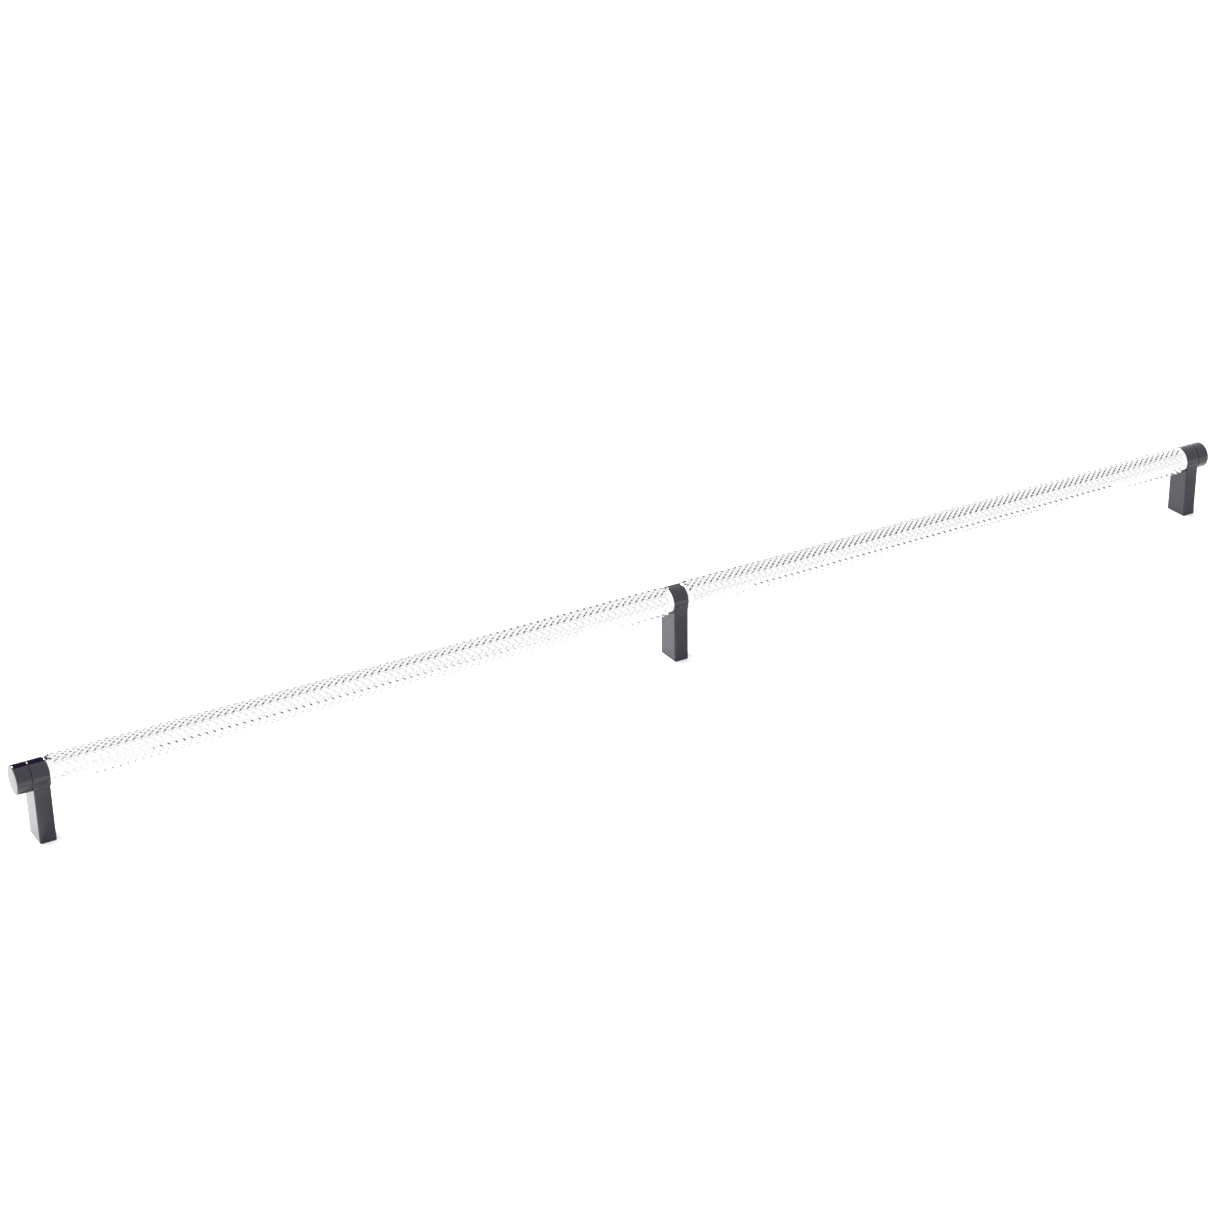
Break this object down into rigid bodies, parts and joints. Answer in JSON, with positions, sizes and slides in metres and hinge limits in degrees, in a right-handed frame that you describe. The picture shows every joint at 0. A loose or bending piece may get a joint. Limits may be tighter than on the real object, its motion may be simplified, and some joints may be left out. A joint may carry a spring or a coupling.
{
  "type": "bar pull",
  "caption": "Long straight pull: polished knurled bar on black posts with round heads and flat screw-fixed feet.",
  "frame": {"origin": "on the mounting plane under the middle of the bar, at the centre of the middle post's foot", "axes": "+X along the bar towards the right post, +Y across the bar towards the side with the grub screws, +Z out of the mounting plane"},
  "size_m": [0.6298, 0.0132, 0.0356],
  "materials": {
    "polished_bar": "polished nickel plate over a diamond knurl",
    "black_post": "gloss near-black coating",
    "zinc_steel": "bright zinc plate",
    "black_steel": "black oxide"
  },
  "bodies": {
    "root": {"left_post": "black_post", "middle_post": "black_post", "right_post": "black_post", "left_end_cap": "black_post", "right_end_cap": "black_post", "left_bar": "polished_bar", "right_bar": "polished_bar", "left_stud": "zinc_steel", "middle_stud": "zinc_steel", "right_stud": "zinc_steel", "left_grub_screw": "black_steel", "middle_grub_screw": "black_steel", "right_grub_screw": "black_steel"}
  },
  "joints": []
}
